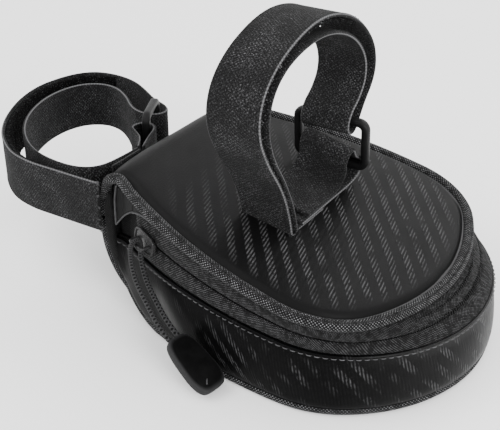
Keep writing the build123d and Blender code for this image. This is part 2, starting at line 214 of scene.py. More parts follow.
# ---- meshes
def add_mesh(name, points, faces, finish, body, **fields):
    """Mesh piece from points in millimetres, with a number per point for each named field."""
    mesh = bpy.data.meshes.new(name)
    mesh.from_pydata((np.asarray(points) * MM).tolist(), [], faces)
    mesh.validate()
    mesh.shade_smooth()
    for field, values in fields.items():
        attribute = mesh.attributes.new(field, "FLOAT", "POINT")
        attribute.data.foreach_set("value", np.asarray(values, np.float32))
    mesh.materials.append(material(finish))
    piece = bpy.data.objects.new(name, mesh)
    bpy.context.scene.collection.objects.link(piece)
    if body:
        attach(piece, body)
    return piece


def grid_faces(rows, columns, close_rows=False, close_columns=False):
    """Four-sided faces over a grid of points stored row by row."""
    faces = []
    for row in range(rows if close_rows else rows - 1):
        for column in range(columns if close_columns else columns - 1):
            here = row * columns
            there = (row + 1) % rows * columns
            beside = (column + 1) % columns
            faces.append((here + column, here + beside, there + beside, there + column))
    return faces


def tube_faces(rings, around, close=False):
    """Faces of a stack of rings, capped at both ends unless it closes on itself."""
    faces = grid_faces(rings, around, close, True)
    if not close:
        faces.append(tuple(range(around - 1, -1, -1)))
        faces.append(tuple(range((rings - 1) * around, rings * around)))
    return faces


def flipped(faces):
    """The same faces, seen from the other side."""
    return [face[::-1] for face in faces]


def grid_normals(grid):
    """Unit normal at each point of a grid."""
    across = np.gradient(grid, axis=1)
    along = np.gradient(grid, axis=0)
    normal = np.cross(across, along)
    return normal / np.maximum(np.linalg.norm(normal, axis=2, keepdims=True), 1e-9)


def cut_panel(name, grid, thickness, finish, body, run, span, **extra):
    """Sheet of leather or cloth with a rounded edge: a grid of its outer face, thickened inward."""
    edge_round = 0.35 * thickness
    rows, columns = grid.shape[:2]
    normal = grid_normals(grid)
    inner = grid - normal * thickness
    outer = grid.copy()
    for edge in (np.s_[0, :], np.s_[-1, :], np.s_[:, 0], np.s_[:, -1]):
        outer[edge] -= normal[edge] * edge_round
        inner[edge] += normal[edge] * edge_round
    points = np.vstack([outer.reshape(-1, 3), inner.reshape(-1, 3)])
    count = rows * columns
    faces = grid_faces(rows, columns)
    faces += [tuple(index + count for index in face) for face in flipped(faces)]
    border = [(0, c) for c in range(columns)] + [(r, columns - 1) for r in range(1, rows)]
    border += [(rows - 1, c) for c in range(columns - 2, -1, -1)]
    border += [(r, 0) for r in range(rows - 2, 0, -1)]
    loop = [r * columns + c for r, c in border]
    for here, there in zip(loop, loop[1:] + loop[:1]):
        faces.append((there, here, here + count, there + count))
    fields = {"run": run, "span": span, **extra}
    fields = {field: np.tile(values.reshape(-1), 2) for field, values in fields.items()}
    return add_mesh(name, points, faces, finish, body, **fields)


def frames_along(path, up):
    """Side and up directions along a line, kept near a starting direction."""
    tangent = directions(path)
    ups = []
    current = np.array(up, float)
    for direction in tangent:
        current = current - direction * (current @ direction)
        current /= np.linalg.norm(current)
        ups.append(current)
    ups = np.array(ups)
    return np.cross(tangent, ups), ups


def swept(name, path, section, finish, body, up=(0, 0, 1), close=False):
    """Solid with one section carried along a line; the section is (side, up) pairs."""
    side, ups = frames_along(path, up)
    if close:
        side, ups = frames_along(np.vstack([path[-1:], path, path[:1]]), up)
        side, ups = side[1:-1], ups[1:-1]
    rings = path[:, None] + side[:, None] * section[None, :, :1] + ups[:, None] * section[None, :, 1:2]
    faces = flipped(tube_faces(len(path), len(section), close))
    loop = lengths(np.vstack([section, section[:1]]))[:-1]
    run, span = np.repeat(lengths(path), len(section)), np.tile(loop, len(path))
    return add_mesh(name, rings.reshape(-1, 3), faces, finish, body, run=run, span=span)


def loft(name, rings, finish, body, painted_bevel_light=0.0):
    """Closed solid through a stack of rings, with a rim value for each ring or for all, which paints a bevel
    lighter as a painted highlight.
    """
    rings = np.array(rings)
    count, around = rings.shape[:2]
    rim = np.repeat(np.broadcast_to(painted_bevel_light, count), around)
    return add_mesh(name, rings.reshape(-1, 3), tube_faces(count, around), finish, body, rim=rim)


def oval(half_side, half_up, count=12, squareness=1.0):
    """Points round an oval section, which a squareness under 1 makes boxier."""
    angle = np.linspace(0, 2 * math.pi, count, endpoint=False)
    turns = np.column_stack([np.cos(angle), np.sin(angle)])
    return np.sign(turns) * np.abs(turns) ** squareness * (half_side, half_up)


def joined(name, parts, finish, body):
    """One mesh from many small pieces, given as (points, faces)."""
    points, faces, first = [], [], 0
    for part_points, part_faces in parts:
        points.append(part_points)
        faces += [tuple(index + first for index in face) for face in part_faces]
        first += len(part_points)
    return add_mesh(name, np.vstack(points), faces, finish, body)


def stitch(start, end, normal, thickness):
    """One sewn stitch: a short thread that rises from its first hole and sinks in its second."""
    along = end - start
    side = np.cross(along / np.linalg.norm(along), normal)
    shares = (0.0, 0.15, 0.5, 0.85, 1.0)
    rises = (-0.5, 0.35, 0.6, 0.35, -0.5)
    widths = (0.6, 0.95, 1.0, 0.95, 0.6)
    angle = np.linspace(0, 2 * math.pi, 6, endpoint=False)
    rings = []
    for share, rise, width in zip(shares, rises, widths):
        centre = start + along * share + normal * rise * thickness
        ring = np.outer(np.cos(angle), side) + np.outer(np.sin(angle), normal)
        rings.append(centre + ring * thickness / 2 * width)
    return np.vstack(rings), grid_faces(len(shares), 6, close_columns=True)


def seam(points, normals, pitch, length, thickness):
    """Stitches along a line on a surface."""
    along = lengths(points)
    made = []
    for place in np.arange(pitch * 0.3, along[-1] - length, pitch):
        start, end = spaced(points, [place, place + length])
        share = np.interp(place + length / 2, along, np.arange(len(points)))
        normal = normals[int(round(share))]
        made.append(stitch(start, end, normal, thickness))
    return made


# ---- materials
class Field:
    """A node's output that takes part in sums: each operator adds the Math node it names."""

    def __init__(self, finish, socket):
        self.finish = finish
        self.socket = socket

    def _math(self, operation, *others):
        sockets = {0: self, **dict(enumerate(others, 1))}
        return self.finish.node("ShaderNodeMath", {"operation": operation}, sockets)

    def __add__(self, other):
        return self._math("ADD", other)

    def __mul__(self, other):
        return self._math("MULTIPLY", other)

    def __sub__(self, other):
        return self._math("SUBTRACT", other)

    def __rsub__(self, other):
        return self._math("MULTIPLY", -1.0)._math("ADD", other)

    def __pow__(self, other):
        return self._math("POWER", other)

    def __abs__(self):
        return self._math("ABSOLUTE")

    def wave(self, period):
        """Smooth wave from 0 to 1 that repeats over a period."""
        return (self * (2 * math.pi / period))._math("SINE") * 0.5 + 0.5

    def least(self, other):
        return self._math("MINIMUM", other)

    def most(self, other):
        return self._math("MAXIMUM", other)

    def ramp(self, low, high):
        """0 below a value, 1 above another, smooth between."""
        sockets = {"Value": self, "From Min": low, "From Max": high}
        return self.finish.node("ShaderNodeMapRange", {"interpolation_type": "SMOOTHSTEP"}, sockets)


class Finish:
    """A material under construction."""

    def __init__(self, name, **constants):
        self.material = bpy.data.materials.new(name)
        self.material.use_nodes = True
        self.tree = self.material.node_tree
        self.shader = self.tree.nodes["Principled BSDF"]
        for socket, value in constants.items():
            self.shader.inputs[socket.replace("_", " ")].default_value = value

    def node(self, kind, settings=None, sockets=None, output=0):
        """Add a node: its type, its settings, and values or fields for its sockets."""
        node = self.tree.nodes.new(kind)
        for setting, value in (settings or {}).items():
            setattr(node, setting, value)
        for key, value in (sockets or {}).items():
            if isinstance(value, Field):
                self.tree.links.new(value.socket, node.inputs[key])
            else:
                node.inputs[key].default_value = value
        return Field(self, node.outputs[output])

    def field(self, name):
        """A mesh's own number, in millimetres."""
        return self.node("ShaderNodeAttribute", {"attribute_name": name}, output="Fac")

    def place(self, size):
        """Sockets of a texture laid over the object, with features of a size in millimetres."""
        return {"Vector": self.node("ShaderNodeTexCoord", output="Object"), "Scale": 1 / (size * MM)}

    def speckle(self, size, detail=2.0, roughness=0.6):
        """Noise from 0 to 1 with spots of about a size."""
        sockets = {**self.place(size), "Detail": detail, "Roughness": roughness}
        return self.node("ShaderNodeTexNoise", None, sockets)

    def grain(self, size):
        """Distance to leather pores or pits of about a size."""
        return self.node("ShaderNodeTexVoronoi", None, self.place(size))

    def set(self, **fields):
        """Link fields to the shader's sockets."""
        for socket, field in fields.items():
            self.tree.links.new(field.socket, self.shader.inputs[socket.replace("_", " ")])

    def made(self, amount, dark, light, roughness, height=None, depth=0.0, tint=(1.0, 1.0, 1.03)):
        """The material, with two tones mixed by an amount, a roughness and a relief in millimetres."""
        dark, light = ((*(tone * part for part in tint), 1.0) for tone in (dark, light))
        mix = self.node("ShaderNodeMix", {"data_type": "RGBA"}, {0: amount, 6: dark, 7: light}, output=2)
        self.set(Base_Color=mix, Roughness=roughness)
        if height:
            self.set(Normal=self.node("ShaderNodeBump", None, {"Height": height, "Distance": depth * MM}))
        return self.material


def embossed(name, dark, light, roughness, depth, specular, gaps, faint_ridge_highlight=0.0, coat=0.0):
    """Synthetic leather embossed like carbon cloth: short ridges gathered in slanting columns, their crowns
    painted in a light tone as painted highlights.
    """
    finish = Finish(name, Coat_Roughness=0.30, Specular_IOR_Level=specular)
    run, span, emboss = finish.field("run"), finish.field("span"), finish.field("emboss")
    column_turn, ridge_turn = math.radians(40), math.radians(11)
    sway = finish.speckle(16.0, 1.0) * 1.4
    columns = span * math.sin(column_turn) + run * math.cos(column_turn) + sway
    ridges = run * math.cos(ridge_turn) + span * math.sin(ridge_turn)
    in_column = columns.wave(6.1).ramp(0.46, 0.80)
    ridge = ridges.wave(1.15)
    raised_and_lit_patches = finish.speckle(10.0).ramp(gaps, gaps + 0.25)
    broken = finish.speckle(1.3, 1.0).ramp(0.25, 0.60)
    raised = in_column * ridge ** 2.0 * emboss
    between = (1 - in_column) * ridges.wave(2.3) * emboss
    height = raised * (raised_and_lit_patches * 0.85 + 0.15) + finish.grain(0.6) * 0.07 + between * 0.08
    # lit: the ridge crowns painted light, a painted highlight on the raised strokes, mostly in the patches of
    # full relief
    lit = raised * raised_and_lit_patches * broken + ridge * broken * emboss * faint_ridge_highlight
    if coat:
        finish.set(Coat_Weight=finish.field("gloss") * coat)
    matt = finish.speckle(9.0, 3.0) * 0.16 + (roughness - 0.08) - lit * 0.10
    return finish.made(lit, dark, light, matt, height, depth)


def woven(name, dark, light, pitch, relief=0.25, mottle=0.5):
    """Plain woven cloth with light thread crowns."""
    finish = Finish(name, Sheen_Weight=0.02, Sheen_Roughness=0.5, Specular_IOR_Level=0.08)
    run, span = finish.field("run"), finish.field("span")
    crowns = (run + span).wave(pitch) * (run - span).wave(pitch)
    blotch = finish.speckle(pitch * 1.7).ramp(0.35, 0.65)
    lit = crowns * (blotch * mottle + (1 - mottle))
    return finish.made(lit.ramp(0.22, 0.70), dark, light, lit * -0.2 + 0.75, crowns + blotch * 0.3, relief)


def webbing(name, dark, light, half_width):
    """Strap webbing: a fine diamond weave with broken light threads and a light selvedge."""
    finish = Finish(name, Sheen_Weight=0.02, Sheen_Roughness=0.6, Specular_IOR_Level=0.08)
    run, span, face = finish.field("run"), finish.field("span"), finish.field("face")
    diamonds = ((run + span * 0.8).wave(1.25) * (run - span * 0.8).wave(1.25)).ramp(0.10, 0.70)
    fuzz = finish.speckle(0.6, 3.0, 0.85).ramp(0.46, 0.66)
    drift = finish.speckle(12.0).ramp(0.32, 0.68)
    edge = abs(span).ramp(half_width - 0.45, half_width - 0.20) * face.ramp(0.55, 0.95)
    lit = (diamonds * 0.75 + 0.25) * fuzz * (drift * 0.55 + 0.25)
    lit = lit.most(edge * (run.wave(1.3) * 0.5 + 0.5) * 0.8)
    return finish.made(lit, dark, light, 0.9 - lit * 0.15, diamonds * 0.6 + fuzz * 0.5 + edge * 0.4, 0.22)


def pile(name, dark, light):
    """Pile of tiny hooks: black, with sparse light hook tips."""
    finish = Finish(name, Specular_IOR_Level=0.06)
    tips = finish.speckle(0.55, 2.0, 0.9).ramp(0.60, 0.72)
    return finish.made(tips, dark, light, 0.95 - tips * 0.2, finish.grain(0.9) * 0.6 + tips * 0.8, 0.5)


def cast_metal(name, dark, light):
    """Black painted cast zinc with pits and lighter speckles."""
    finish = Finish(name, Metallic=0.2, Coat_Weight=0.1, Coat_Roughness=0.25, Specular_IOR_Level=0.25)
    rough = finish.speckle(0.4, 4.0, 0.75)
    height = finish.grain(0.55) * 0.7 + rough * 0.6
    return finish.made(rough.ramp(0.5, 0.8), dark, light, rough * 0.4 + 0.18, height, 0.3)


def moulded(name, tone, roughness, rim=6.0, specular=0.12):
    """Moulded plastic or rubber with a fine spark texture, and bevels painted lighter where it has them, a
    painted highlight.
    """
    finish = Finish(name, Specular_IOR_Level=specular)
    texture = finish.speckle(0.3, 3.0, 0.7)
    smear = finish.speckle(6.0).ramp(0.3, 0.8) * 0.12
    # the rim field paints the bevel in the light tone: a painted highlight on the side that faces the light
    lit = (smear + finish.field("rim")).least(1.0)
    return finish.made(lit, tone, tone * rim, texture * 0.2 + (roughness - 0.1), texture, 0.05)


def braided(name, dark, light):
    """Braided cord cover: strands crossing both ways round the cord."""
    finish = Finish(name, Sheen_Weight=0.015, Specular_IOR_Level=0.1)
    coordinates = finish.node("ShaderNodeTexCoord", output="UV")
    along, around = (
        finish.node("ShaderNodeSeparateXYZ", None, {0: coordinates}, output=axis) for axis in "XY"
    )
    strands = (along * 68.0 + around * 2.0).wave(1.0).most((along * 68.0 - around * 2.0).wave(1.0))
    return finish.made(strands.ramp(0.55, 0.98), dark, light, strands * -0.15 + 0.8, strands, 0.3)


def cellular(name, dark, light):
    """Closed-cell foam: fine round cells."""
    finish = Finish(name)
    cells = finish.grain(0.9)
    return finish.made(cells, dark, light, cells * 0.1 + 0.82, cells, 0.2)


def paper(name, tone):
    """Pale, nearly even paper of the floor."""
    finish = Finish(name, Specular_IOR_Level=0.2)
    cloud = finish.speckle(300.0)
    return finish.made(cloud, tone, tone * 1.02, cloud * 0.05 + 0.85, tint=(1.0, 1.0, 1.0))


MATERIALS = {}


def material(name):
    """A finish of the bag by its name, made once."""
    if name in MATERIALS:
        return MATERIALS[name]
    colours = bpy.context.scene.bag_colours
    tone, thread = colours.leather_tone, colours.thread_tone
    finishes = {
        # the leathers' light tones colour the painted highlights on their embossed ridges
        "panel_leather": (embossed, tone * 0.7, tone * 19, 0.50, 0.34, 0.07, 0.28),
        "wall_leather": (embossed, tone * 0.4, tone * 15, 0.34, 0.3, 0.03, 0.42, 0.03, 0.5),
        "piping_weave": (woven, tone * 0.8, thread * 2.6, 1.15),
        "tape_weave": (woven, tone * 0.9, thread * 1.3, 1.05, 0.2, 0.7),
        # near-black weave of the front binding, far darker than the piping's weave: painted shade
        "binding_weave_painted_shade": (woven, tone * 0.3, thread * 0.08, 0.8, 0.15),
        "lining": (woven, tone * 0.6, thread * 0.25, 0.8, 0.1),
        "webbing": (webbing, tone * 0.9, thread * 2.6, 10.0),
        "slider_metal": (cast_metal, tone * 1.1, tone * 1.1 * 28),
        "ring_plastic": (moulded, tone, 0.42),
        # the tab's bevel is painted sixteen times lighter than its faces, a painted highlight
        "tab_rubber": (moulded, tone * 0.35, 0.62, 16.0, 0.05),
        "coil_nylon": (moulded, tone, 0.35),
        "cord_braid": (braided, tone * 0.6, thread * 0.5),
        "thread": (moulded, thread * 0.8, 0.6),
        # light tone of the beads on the corner panels' edges, a painted highlight; the tab's slit uses it too
        "bead": (moulded, thread * 0.5, 0.5),
        "hook_pile": (pile, tone * 0.5, thread * 2.6),
        "foam": (cellular, 0.05 * 0.7, 0.05),
        "stiffener": (moulded, 0.08, 0.55),
        "floor_paper": (paper, colours.floor_tone),
    }
    maker, *settings = finishes[name]
    MATERIALS[name] = maker(name, *settings)
    return MATERIALS[name]


# ---- what a user would change
class BagSizes(bpy.types.PropertyGroup):
    """Sizes of the soft pieces."""

    panel_crown: bpy.props.FloatProperty(
        name="Panel crown", description="How far the padded panel swells", default=0.0014, unit="LENGTH"
    )
    wall_swell: bpy.props.FloatProperty(
        name="Wall swell", description="How far the side wall bows out", default=0.0011, unit="LENGTH"
    )
    piping_width: bpy.props.FloatProperty(
        name="Piping width", description="Thickness of the covered piping", default=0.0039, unit="LENGTH"
    )
    strap_width: bpy.props.FloatProperty(
        name="Strap width", description="Width of the webbing", default=0.020, unit="LENGTH"
    )
    strap_thickness: bpy.props.FloatProperty(
        name="Strap thickness", description="Thickness of the webbing", default=0.0012, unit="LENGTH"
    )
    stitch_pitch: bpy.props.FloatProperty(
        name="Stitch pitch", description="From one stitch to the next", default=0.0027, unit="LENGTH"
    )
    cord_width: bpy.props.FloatProperty(
        name="Cord width", description="Thickness of the pull's cord", default=0.0018, unit="LENGTH"
    )


class BagColours(bpy.types.PropertyGroup):
    """Tones of the finishes."""

    leather_tone: bpy.props.FloatProperty(
        name="Leather tone", description="Lightness of the leather", default=0.0034, min=0, max=1
    )
    thread_tone: bpy.props.FloatProperty(
        name="Thread tone", description="Lightness of the thread crowns", default=0.055, min=0, max=1
    )
    floor_tone: bpy.props.FloatProperty(
        name="Floor tone", description="Lightness of the floor", default=0.92, min=0, max=1
    )


# ---- the panels
def half_at(plan, y):
    """Half width of an outline at places along the bag."""
    left = plan[: (len(plan) + 1) // 2][::-1]
    return np.interp(y, left[:, 1], -left[:, 0])


def border_distance(points, border):
    """Distance from flat points to a flat border line."""
    shortest = np.full(len(points), np.inf)
    for start, end in zip(border, border[1:]):
        run = end - start
        share = np.clip(((points - start) @ run) / max(run @ run, 1e-9), 0, 1)
        gap = np.linalg.norm(points - start - share[:, None] * run, axis=1)
        shortest = np.minimum(shortest, gap)
    return shortest


class BAG_OT_main_panel(bpy.types.Operator):
    """Padded panel that covers the top, rolls over the front edge and runs down the front."""

    bl_idname = "bag.main_panel"
    bl_label = "Main panel"

    def execute(self, context):
        crown = context.scene.bag_sizes.panel_crown / MM
        plan = outline(TOP, -1.6, front=FRONT_Y)
        profile = even(front_profile(), 1.3)
        profile = profile[profile[:, 0] > WIDEST_Y]
        tip = plan[:, 1].min() * TILT_COSINE + 0.25
        tail_y = tip + (WIDEST_Y - tip) * np.sin(np.linspace(math.pi / 2, 0, 30)[1:]) ** 2
        profile = np.vstack([profile, np.column_stack([tail_y, top_z(tail_y)])])
        on_top = profile[:, 1] > top_z(profile[:, 0]) - 1.5
        plan_y = np.where(on_top, profile[:, 0] / TILT_COSINE, profile[:, 0])
        half = np.where(on_top, half_at(plan, np.clip(plan_y, None, FRONT_Y)), flank(profile[:, 0]) - 3.2)
        along = lengths(profile)
        reach = math.pi / 2 * 0.96  # the columns crowd towards both edges
        share = np.sin(np.linspace(1, -1, 61) * reach) / math.sin(reach)
        span = half[:, None] * share
        run = np.repeat(along[:, None], len(share), axis=1)
        flat = np.column_stack([span.reshape(-1), run.reshape(-1), 0 * run.reshape(-1)])
        right = np.column_stack([half, along])
        gap = border_distance(flat[:, :2], np.vstack([right, right[::-1] * (-1, 1)])).reshape(span.shape)
        under = np.clip(profile[:, 1:] / 14.0, 0, 1)  # the swelling fades out where the panel turns under
        rise = crown * under * (1 - np.exp(-gap / 9.0)) - 1.5 * np.exp(-((gap / 1.5) ** 2)) - 0.35
        rise += 0.35 * under * unevenness(flat, 22.0, 3.1).reshape(span.shape)
        side = profile[:, None] + square_to(profile)[:, None] * rise[:, :, None]
        grid = np.dstack([span, side])
        behind_fold = run - along[int(np.argmax(profile[:, 1]))]
        emboss = np.interp(gap, (2.5, 9.0), (0.0, 1.0)) * np.interp(behind_fold, (18, 62), (0.04, 1.0))
        panel = cut_panel("main_panel", grid, 1.3, "panel_leather", None, run, span, emboss=emboss)
        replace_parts(panel, "top_panel", "front_panel")
        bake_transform(panel)
        return {"FINISHED"}


class BAG_OT_piping(bpy.types.Operator):
    """Woven piping round the lid and down the front edges, and round the base."""

    bl_idname = "bag.piping"
    bl_label = "Piping"

    def execute(self, context):
        radius = context.scene.bag_sizes.piping_width / MM / 2
        meet_z = 38.0
        side = even(front_profile(radius - 0.1), 1.2)
        side = side[(side[:, 0] > LID_FRONT_Y) | (side[:, 1] < 30)]
        side = side[side[:, 0] > 36.0]
        out = np.interp(side[:, 1], (46, 56), (-radius, 0.2))
        edge = np.column_stack([-flank(side[:, 0]) - out, side])
        upper = edge[edge[:, 2] >= meet_z]
        lower = edge[edge[:, 2] <= meet_z + 0.8]
        round_lid = lay(TOP, outline(TOP, 0.5, front=LID_FRONT_Y - 0.5), -radius)
        rim = even(np.vstack([upper, round_lid, upper[::-1] * (-1, 1, 1)]), 1.1)
        section = oval(radius, radius * 1.04, 14)
        lid_piping = swept("lid_piping", rim, section, "piping_weave", None, up=(1, 0, 0))
        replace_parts(lid_piping, "top_piping")
        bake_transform(lid_piping)
        base = lay(FLOOR, outline(FLOOR, -radius + 0.1, front=35.5), radius + 0.05)
        loop = even(np.vstack([lower[::-1], base, lower * (-1, 1, 1)]), 1.1)
        base_piping = swept("base_piping", loop, section, "piping_weave", "bag", up=(1, 0, 0))
        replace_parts(base_piping, "lower_piping")
        return {"FINISHED"}


def front_edge(z, inset):
    """How far forward the side reaches at a height."""
    profile = front_profile(inset)
    face = profile[(profile[:, 0] > 40) & (profile[:, 1] < 50)]
    return float(np.interp(z, face[:, 1], face[:, 0]))


class BAG_OT_side_wall(bpy.types.Operator):
    """Glossy wall round the sides and the rear, with a turned and stitched top edge, and its lining."""

    bl_idname = "bag.side_wall"
    bl_label = "Side wall"

    def rows(self, shares, grow, inset):
        """Rows round the wall, each a share of its height up and grown outward by its own amount."""
        return np.array([
            wall_row(FLOOR, SEAM, share, out, front_edge(SEAM.height * share, inset))
            for share, out in zip(shares, grow)
        ])

    def execute(self, context):
        sizes = context.scene.bag_sizes
        shares = np.concatenate([np.linspace(0.12, 0.90, 14), [0.925, 0.945, 0.965, 0.985, 0.995]])
        bow = sizes.wall_swell / MM * np.sin(math.pi * np.minimum(shares / 0.93, 1.0)) ** 0.8
        hem = 0.45 * np.interp(shares, (0.925, 0.95, 0.98, 1.0), (0, 1, 1, 0.2))
        grid = self.rows(shares, bow + hem, 3.2)
        ripple = unevenness(grid, 13.0, 1.7) * 0.30 + unevenness(grid, 34.0, 5.0) * 0.5
        ripple *= np.interp(shares, (0.12, 0.3, 0.8, 0.92), (0.2, 1, 1, 0.15))[:, None]
        grid = grid + grid_normals(grid) * ripple[:, :, None]
        run, span = np.meshgrid(lengths(grid[8]), shares * SEAM.height)
        y, z = grid[:, :, 1], grid[:, :, 2]
        emboss = np.interp(y, (-6, 18), (1.0, 0.15)) * np.interp(span, (3, 7, 23, 25), (0.5, 1, 1, 0.3))
        aslant = (y - 29.0) * 0.76 + (z - 16.0) * 0.65
        beside = (y - 29.0) * -0.65 + (z - 16.0) * 0.76
        gloss = np.exp(-((beside / 2.6) ** 2) - (aslant / 9.0) ** 4)
        edges = np.interp(span, (3, 9, 22, 27), (1, 0.3, 0.3, 1))
        gloss += 0.55 * np.interp(y, (-62, -40), (1.0, 0.0)) * edges
        wall = cut_panel(
            "side_wall_leather", grid, 1.5, "wall_leather", "bag", run, span, emboss=emboss, gloss=gloss
        )
        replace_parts(wall, "side_wall")
        line = wall_row(FLOOR, SEAM, 0.945, 0.55, front_edge(26, 3.2) - 1)
        normals = grid_normals(np.array([line, line + (0, 0, 1)]))[0]
        pitch = sizes.stitch_pitch / MM
        stitches = seam(even(line, 0.8), even(line, 0.8, normals), pitch, pitch * 0.68, 0.34)
        thread = joined("wall_hem_stitches", stitches, "thread", "bag")
        shares = np.linspace(0.16, 0.985, 12)
        grid = self.rows(shares, -1.85 - 0.2 * np.sin(9 * shares), 6)
        run, span = np.meshgrid(lengths(grid[5]), shares * SEAM.height)
        lining = cut_panel("side_lining_cloth", grid, 0.5, "lining", "bag", run, span)
        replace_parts(lining, "side_lining")
        return {"FINISHED"}


class BAG_OT_corner_panels(bpy.types.Operator):
    """Binding down the front edges, and leather corners with a round hood over the slider."""

    bl_idname = "bag.corner_panels"
    bl_label = "Corner panels"

    def side_row(self, y, share, grow):
        """Points on a side between the seam and the lid's piping, at places along the bag."""
        plan = np.column_stack([-flank(y, grow), y])
        foot, head = lay(SEAM, plan), lay(PIPING, plan, -0.3)
        return foot + (head - foot) * np.reshape(share, (-1, 1))

    def hood_edge(self, y):
        """How far up the side the hood's lower edge lies: it arches from the front up over the slider."""
        front, rear = ZIP_FRONT_Y + 13.5, ZIP_FRONT_Y - 11.5
        ahead = np.clip((front - y) / (front - rear), 0, 1)
        return 0.12 + 0.865 * (1 - (1 - ahead) ** 2.0)

    def panel(self, name, grid, mirror, thickness, finish, body="bag"):
        """Panel on one side of the bag, from a grid of the left side: rows upward, columns forward."""
        run, span = np.meshgrid(lengths(grid[len(grid) // 2]), lengths(grid[:, -1]))
        grid = grid * (mirror, 1, 1)
        if mirror > 0:
            grid, run, span = grid[:, ::-1], run[:, ::-1], span[:, ::-1]
        return cut_panel(name, grid, thickness, finish, body, run, span)

    def bead(self, name, line, mirror, tall, step, body):
        """Light bead along a panel's edge, a light tube laid on as a painted highlight of that edge, from a
        line on the left side.
        """
        line = even(line * (mirror, 1, 1), step)
        swept(name, line, oval(0.36, tall, 8), "bead", body, up=(1, 0, 0))

    def execute(self, context):
        for label, mirror in (("left", 1.0), ("right", -1.0)):
            columns = np.linspace(0.0, 1.0, 16)
            behind = ZIP_FRONT_Y + 0.4
            low = self.hood_edge(behind + 11.5 * columns)
            rows = []
            for share in np.linspace(0.0, 1.0, 16):
                level = low + (0.985 - low) * share
                height = 29.5 + 24.0 * level
                edge = np.array([front_edge(min(h, 46), 3.3) - max(0.0, h - 46) * 0.45 for h in height])
                band = np.interp(height, (30, 44, 52), (5.2, 4.6, 2.0))
                y = behind + (edge - band - behind) * columns
                rows.append(self.side_row(y, level, 0.3 + 0.5 * np.sin(columns * math.pi)))
            grid = np.array(rows)
            corner = self.panel(f"{label}_corner_leather", grid, mirror, 1.3, "panel_leather")
            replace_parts(corner, f"{label}_corner_panel")
            # light bead along the corner's lower and front edges: a painted highlight
            rim = np.vstack([grid[0, :-1], grid[:, -1]])
            self.bead(f"{label}_corner_edge_highlight", rim, mirror, 0.5, 0.7, "bag")
            y = np.linspace(ZIP_FRONT_Y - 12.0, ZIP_FRONT_Y + 0.3, 14)
            flap_rows = [
                self.side_row(y, self.hood_edge(y) * (1 - share) + 0.987 * share, 1.25 - 0.3 * share)
                for share in np.linspace(0, 1, 8)
            ]
            flap = self.panel(f"{label}_hood_flap", np.array(flap_rows), mirror, 0.7, "panel_leather", "lid")
            self.bead(f"{label}_hood_edge_highlight", flap_rows[0], mirror, 0.4, 0.6, "lid")
            edge = even(front_profile(3.4), 1.2)
            edge = edge[(edge[:, 0] > 44) & (edge[:, 1] < 51) & (edge[:, 1] > 2)]
            reach = np.interp(edge[:, 1], (2, 12, 44, 51), (3.0, 5.4, 5.0, 2.0))[:, None]
            rows = []
            for share in np.linspace(0, 1, 7):
                place = edge - square_to(edge) * reach * share
                proud = 0.55 + 0.55 * math.sin(math.pi * share) ** 0.6
                rows.append(np.column_stack([-flank(place[:, 0], proud), place]))
            strip = np.array(rows).transpose(1, 0, 2)[:, ::-1]
            # the binding's near-black weave is painted shade on this strip
            binding = self.panel(f"{label}_front_binding", strip, mirror, 1.0, "binding_weave_painted_shade")
            y = np.linspace(ZIP_FRONT_Y - 0.5, ZIP_FRONT_Y + 12.0, 10)
            rows = [self.side_row(y, share, -2.6) for share in np.linspace(0.0, 0.80, 10)]
            pocket = self.panel(f"{label}_slider_pocket", np.array(rows), mirror, 0.5, "lining")
        return {"FINISHED"}


class BAG_OT_base_panel(bpy.types.Operator):
    """Bottom panel and the linings of the base and the lid."""

    bl_idname = "bag.base_panel"
    bl_label = "Base and linings"

    def flat_panel(self, name, level, grow, lift, thickness, finish, body, front, swell, down):
        """Panel over a level, up to a place along the bag."""
        plan = outline(level, grow, front)
        rear = plan[:, 1].min() + 0.2
        rear_y = rear + (WIDEST_Y - rear) * np.cos(np.linspace(0, 1, 24)[1:] * math.pi / 2)
        y = np.concatenate([np.linspace(front, WIDEST_Y, 30), rear_y])
        share = np.linspace(-1, 1, 31) * (1 if down else -1)
        span = half_at(plan, y)[:, None] * share
        run = np.repeat(y[:, None], len(share), axis=1)
        flat = np.column_stack([span.reshape(-1), run.reshape(-1), 0 * run.reshape(-1)])
        gap = border_distance(flat[:, :2], plan)
        rise = swell * (1 - np.exp(-gap / 10)) + 0.25 * unevenness(flat, 18.0, 8.0)
        grid = lay(level, flat, lift + rise * (-1 if down else 1)).reshape(*span.shape, 3)
        return cut_panel(name, grid, thickness, finish, body, run, span)

    def execute(self, context):
        base = self.flat_panel("base_leather", FLOOR, -3.3, 1.0, 1.2, "wall_leather", "bag", 36.0, 0.6, True)
        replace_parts(base, "bottom_panel")
        floor = self.flat_panel("base_lining_cloth", FLOOR, -4.0, 4.0, 0.3, "lining", "bag", 34.0, 0.3, False)
        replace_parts(floor, "bottom_lining")
        roof = self.flat_panel("lid_lining_cloth", TOP, -2.0, -3.5, 0.3, "lining", "lid", 47.0, 0.3, True)
        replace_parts(roof, "top_lining")
        for node, finish in (("top_foam", "foam"), ("front_foam", "foam"), ("bottom_board", "stiffener")):
            dress(node, finish)
        return {"FINISHED"}


def dress(node, finish):
    """Give a CAD node its finish."""
    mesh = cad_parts[node].data
    mesh.materials.clear()
    mesh.materials.append(material(finish))


